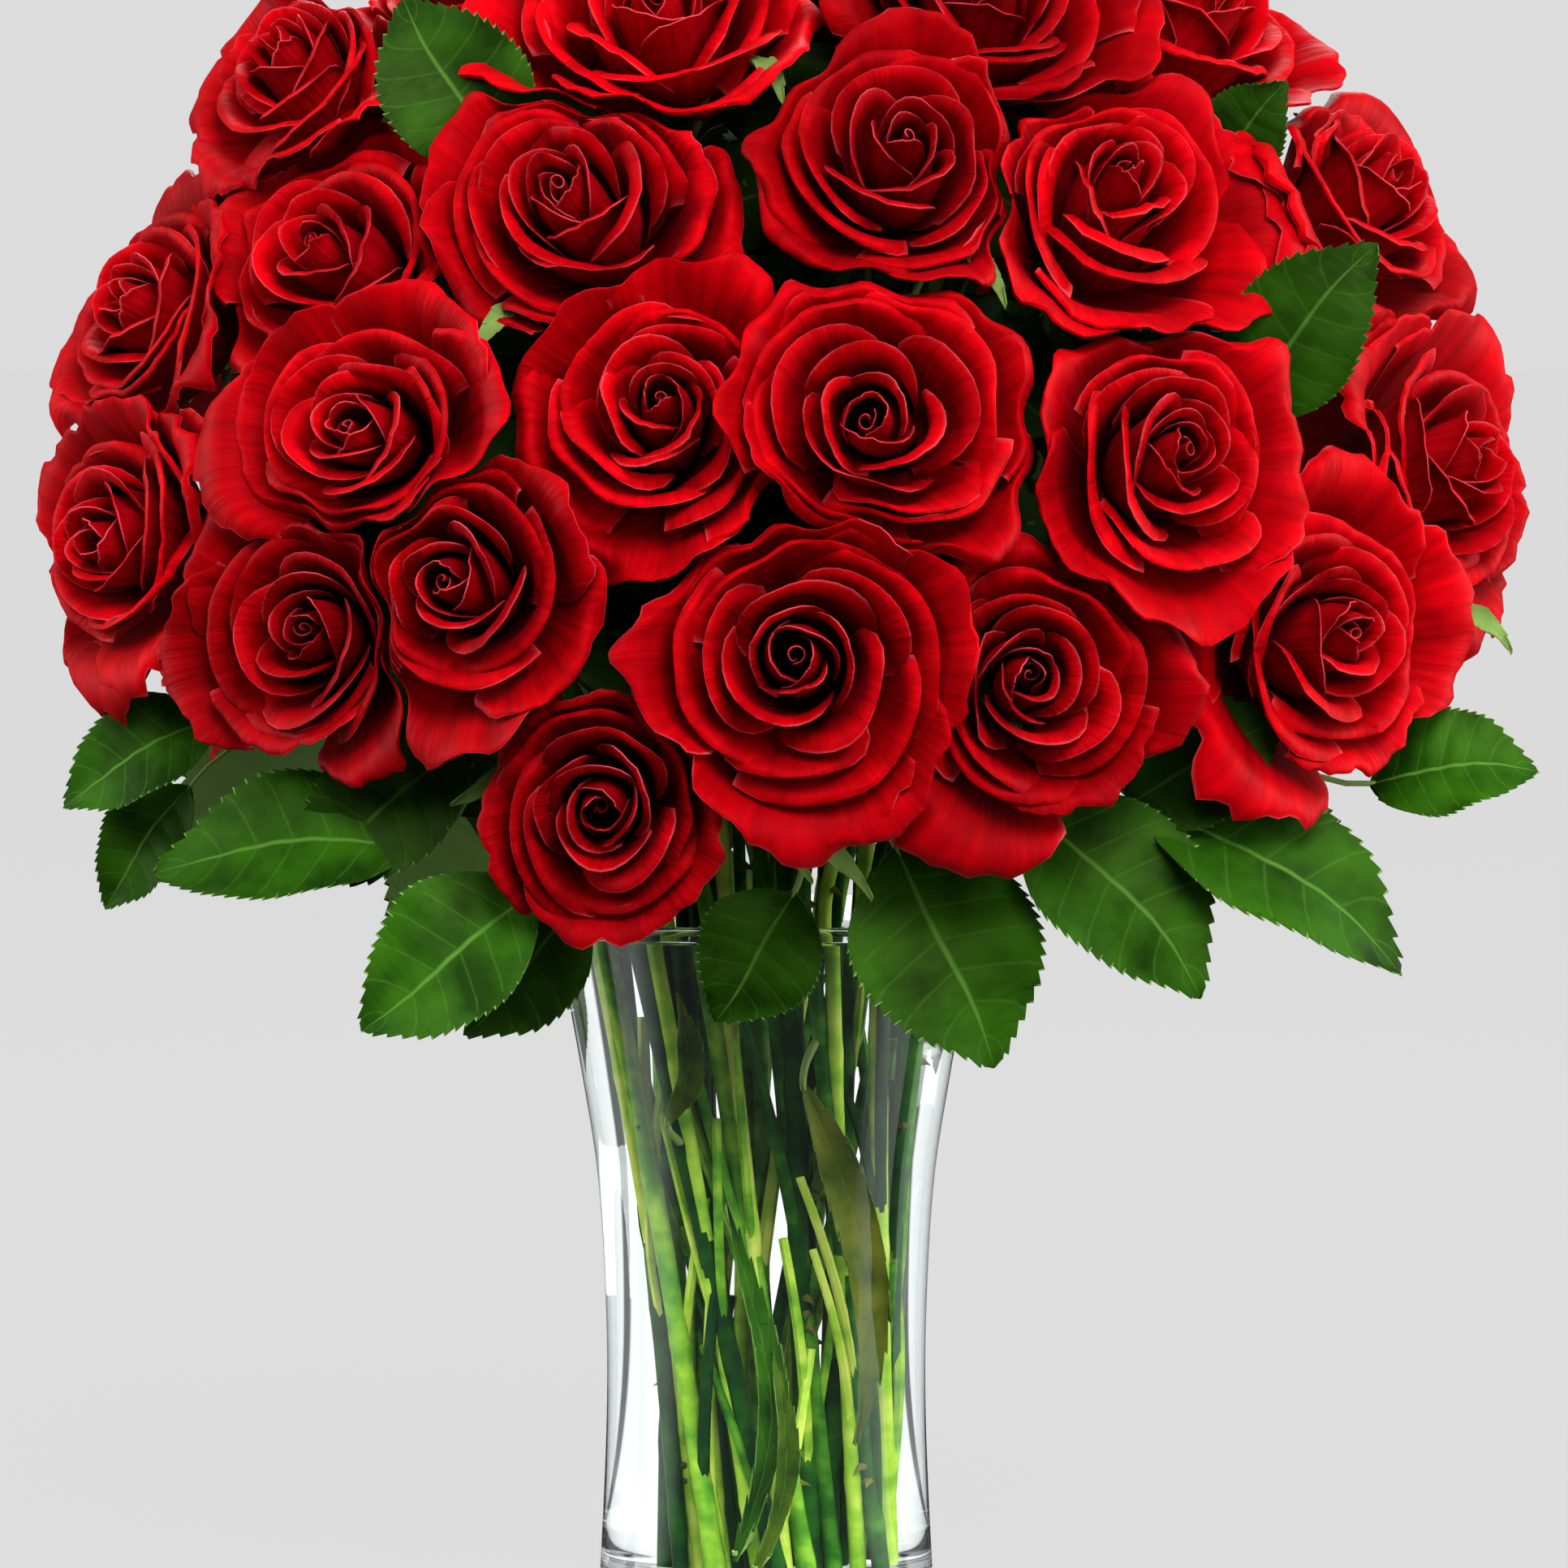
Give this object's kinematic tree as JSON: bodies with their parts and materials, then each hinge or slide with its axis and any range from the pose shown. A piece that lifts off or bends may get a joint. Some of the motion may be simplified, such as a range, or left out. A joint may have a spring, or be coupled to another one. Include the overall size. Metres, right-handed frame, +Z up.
{
  "type": "vase of cut roses",
  "caption": "Domed bouquet of long-stemmed red roses with serrated leaves, standing in water in a waisted clear glass vase.",
  "frame": {"origin": "centre of the vase's flat underside", "axes": "+Z up along the vase's axis, -Y towards the side the bouquet is seen from, +X to the right as seen from there"},
  "size_m": [0.4343, 0.2958, 0.5014],
  "materials": {
    "clear_glass": "clear polished pressed glass",
    "water": "clear still water",
    "rose_petals": "velvety deep red petals",
    "rose_greens": "satin green stems and leaves"
  },
  "bodies": {
    "root": {"vase": "clear_glass", "water": "water", "rose_01": "rose_petals", "rose_02": "rose_petals", "rose_03": "rose_petals", "rose_04": "rose_petals", "rose_05": "rose_petals", "rose_06": "rose_petals", "rose_07": "rose_petals", "rose_08": "rose_petals", "rose_09": "rose_petals", "rose_10": "rose_petals", "rose_11": "rose_petals", "rose_12": "rose_petals", "rose_13": "rose_petals", "rose_14": "rose_petals", "rose_15": "rose_petals", "rose_16": "rose_petals", "rose_17": "rose_petals", "rose_18": "rose_petals", "rose_19": "rose_petals", "rose_20": "rose_petals", "rose_21": "rose_petals", "rose_22": "rose_petals", "rose_23": "rose_petals", "rose_24": "rose_petals", "rose_25": "rose_petals", "rose_26": "rose_petals", "rose_27": "rose_petals", "rose_28": "rose_petals", "rose_29": "rose_petals", "rose_30": "rose_petals", "rose_31": "rose_petals", "rose_32": "rose_petals", "rose_33": "rose_petals", "rose_34": "rose_petals", "rose_35": "rose_petals", "rose_36": "rose_petals", "stems_01": "rose_greens", "stems_02": "rose_greens", "stems_03": "rose_greens", "stems_04": "rose_greens", "stems_05": "rose_greens", "stems_06": "rose_greens", "stems_07": "rose_greens", "stems_08": "rose_greens", "stems_09": "rose_greens", "stems_10": "rose_greens", "stems_11": "rose_greens", "stems_12": "rose_greens", "stems_13": "rose_greens", "stems_14": "rose_greens", "stems_15": "rose_greens", "stems_16": "rose_greens", "stems_17": "rose_greens", "stems_18": "rose_greens"}
  },
  "joints": []
}
